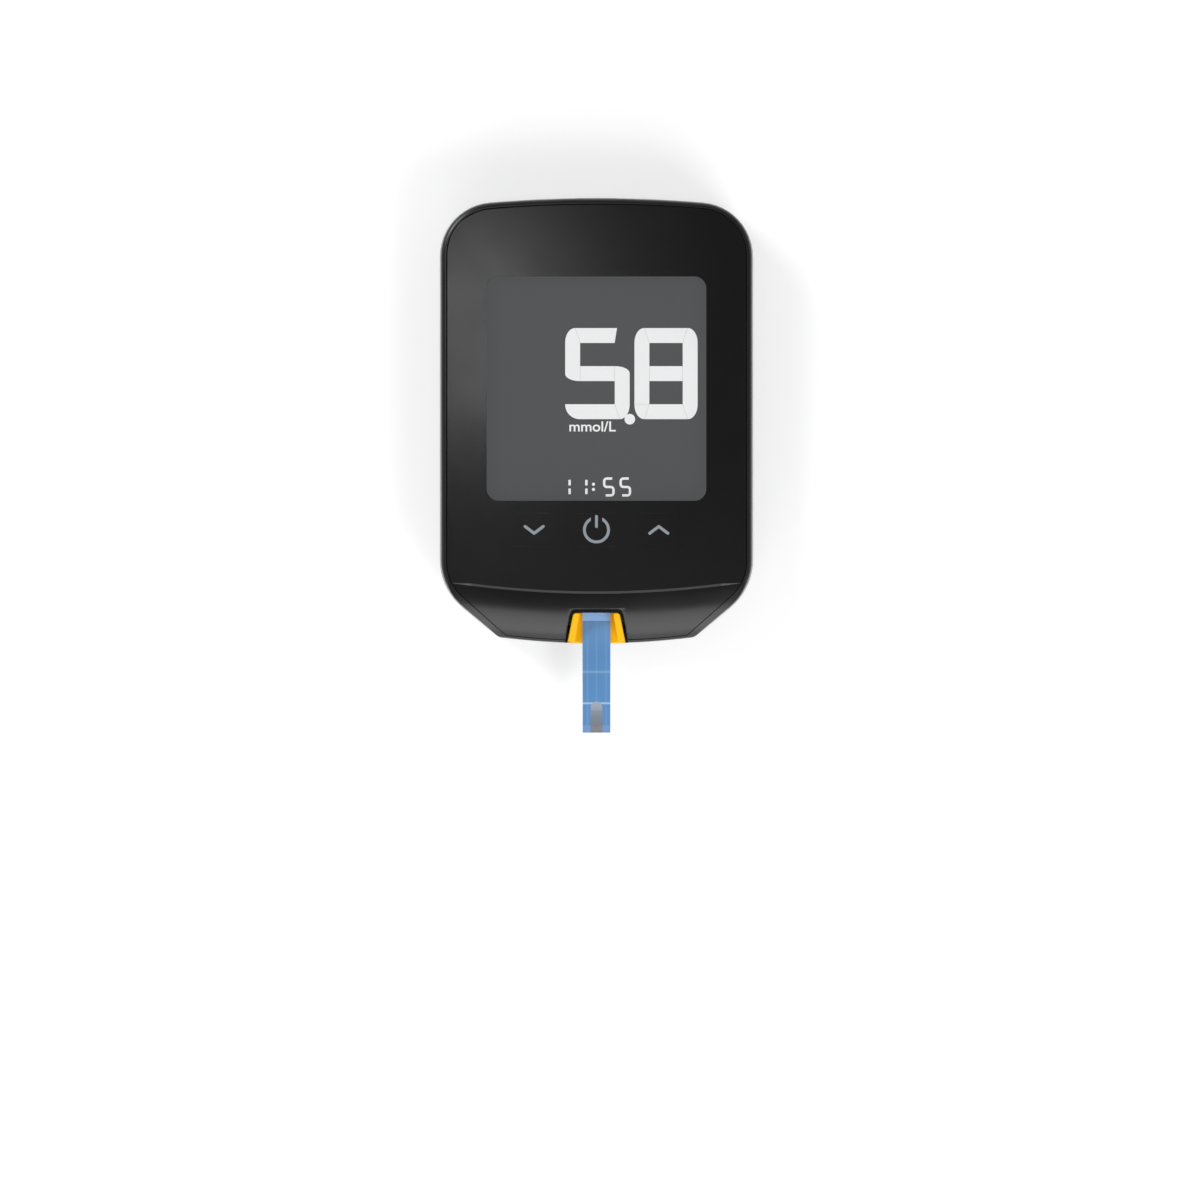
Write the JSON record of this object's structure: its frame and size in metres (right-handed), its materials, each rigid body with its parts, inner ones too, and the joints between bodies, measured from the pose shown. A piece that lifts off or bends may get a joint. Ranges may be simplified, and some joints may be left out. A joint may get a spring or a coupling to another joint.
{
  "type": "blood glucose meter",
  "caption": "Flat black blood glucose meter with a square display, flush keys, a sloping chin and a blue test strip in its yellow port.",
  "frame": {"origin": "centre of the flat back of the case", "axes": "+Z is the normal of the front face, +Y points to the top edge of the meter, +X to the right seen from the front"},
  "size_m": [0.0604, 0.1032, 0.016],
  "materials": {
    "case_plastic": "fine textured black plastic",
    "rim_plastic": "satin black plastic",
    "face_plastic": "satin black coated plastic",
    "chin_plastic": "satin black plastic",
    "yellow_plastic": "satin yellow plastic",
    "lens_plastic": "clear hard-coated acrylic",
    "lit_segments": "lit display segments",
    "lcd_glass": "grey polarised glass",
    "light_guide_plastic": "clear acrylic",
    "led_resin": "cast resin",
    "frame_plastic": "moulded white plastic",
    "zebra_rubber": "layered silicone",
    "board_laminate": "solder-masked glass laminate",
    "chip_resin": "moulded resin",
    "steel": "nickel-plated steel",
    "component_ceramic": "fired ceramic",
    "buzzer_plastic": "moulded plastic",
    "contact_metal": "plated spring bronze",
    "key_rubber": "moulded silicone",
    "key_plastic": "satin black coated plastic",
    "symbol_plastic": "pale grey inlay",
    "cell_steel": "nickel-plated steel",
    "label_film": "matt printed film, bare",
    "strip_polyester": "white polyester film",
    "strip_blue": "matt blue film",
    "strip_grey": "grey film",
    "strip_carbon": "printed carbon"
  },
  "bodies": {
    "case": {"rear_cover": "case_plastic", "rim_frame": "rim_plastic", "face_plate": "face_plastic", "chin_cover": "chin_plastic", "port_insert": "yellow_plastic", "display_lens": "lens_plastic", "lcd_segments": "lit_segments", "lcd_panel": "lcd_glass", "light_guide": "light_guide_plastic", "backlight_leds": "led_resin", "lcd_frame": "frame_plastic", "zebra_connector": "zebra_rubber", "main_board": "board_laminate", "microcontroller": "chip_resin", "memory_chip": "chip_resin", "crystal": "steel", "small_parts": "component_ceramic", "buzzer": "buzzer_plastic", "strip_connector": "frame_plastic", "strip_contacts": "contact_metal", "usb_shell": "steel", "usb_tongue": "chip_resin", "keypad_mat": "key_rubber", "down_spring": "key_rubber", "centre_spring": "key_rubber", "up_spring": "key_rubber", "left_cell": "cell_steel", "right_cell": "cell_steel", "negative_springs": "contact_metal", "positive_clips": "contact_metal", "case_screws": "steel", "rear_label": "label_film"},
    "down_button": {"down_key": "key_plastic", "down_symbol": "symbol_plastic"},
    "centre_button": {"centre_key": "key_plastic", "centre_symbol": "symbol_plastic"},
    "up_button": {"up_key": "key_plastic", "up_symbol": "symbol_plastic"},
    "door": {"battery_door": "case_plastic"},
    "test_strip": {"strip_base": "strip_polyester", "strip_film": "strip_blue", "strip_chamber": "strip_grey", "strip_electrodes": "strip_carbon"}
  },
  "joints": [
    {"name": "down_press", "type": "slide", "parent": "case", "child": "down_button", "axis": [0, 0, -1], "range_m": [0, 0.0004], "stiffness_N_per_m": 4000, "deforming": ["down_spring"]},
    {"name": "centre_press", "type": "slide", "parent": "case", "child": "centre_button", "axis": [0, 0, -1], "range_m": [0, 0.0004], "stiffness_N_per_m": 4000, "deforming": ["centre_spring"]},
    {"name": "up_press", "type": "slide", "parent": "case", "child": "up_button", "axis": [0, 0, -1], "range_m": [0, 0.0004], "stiffness_N_per_m": 4000, "deforming": ["up_spring"]},
    {"name": "door_slide", "type": "slide", "parent": "case", "child": "door", "axis": [0, 1, 0], "range_m": [0, 0.03]},
    {"name": "strip_slide", "type": "slide", "parent": "case", "child": "test_strip", "axis": [0, -1, 0], "range_m": [0, 0.02]}
  ]
}
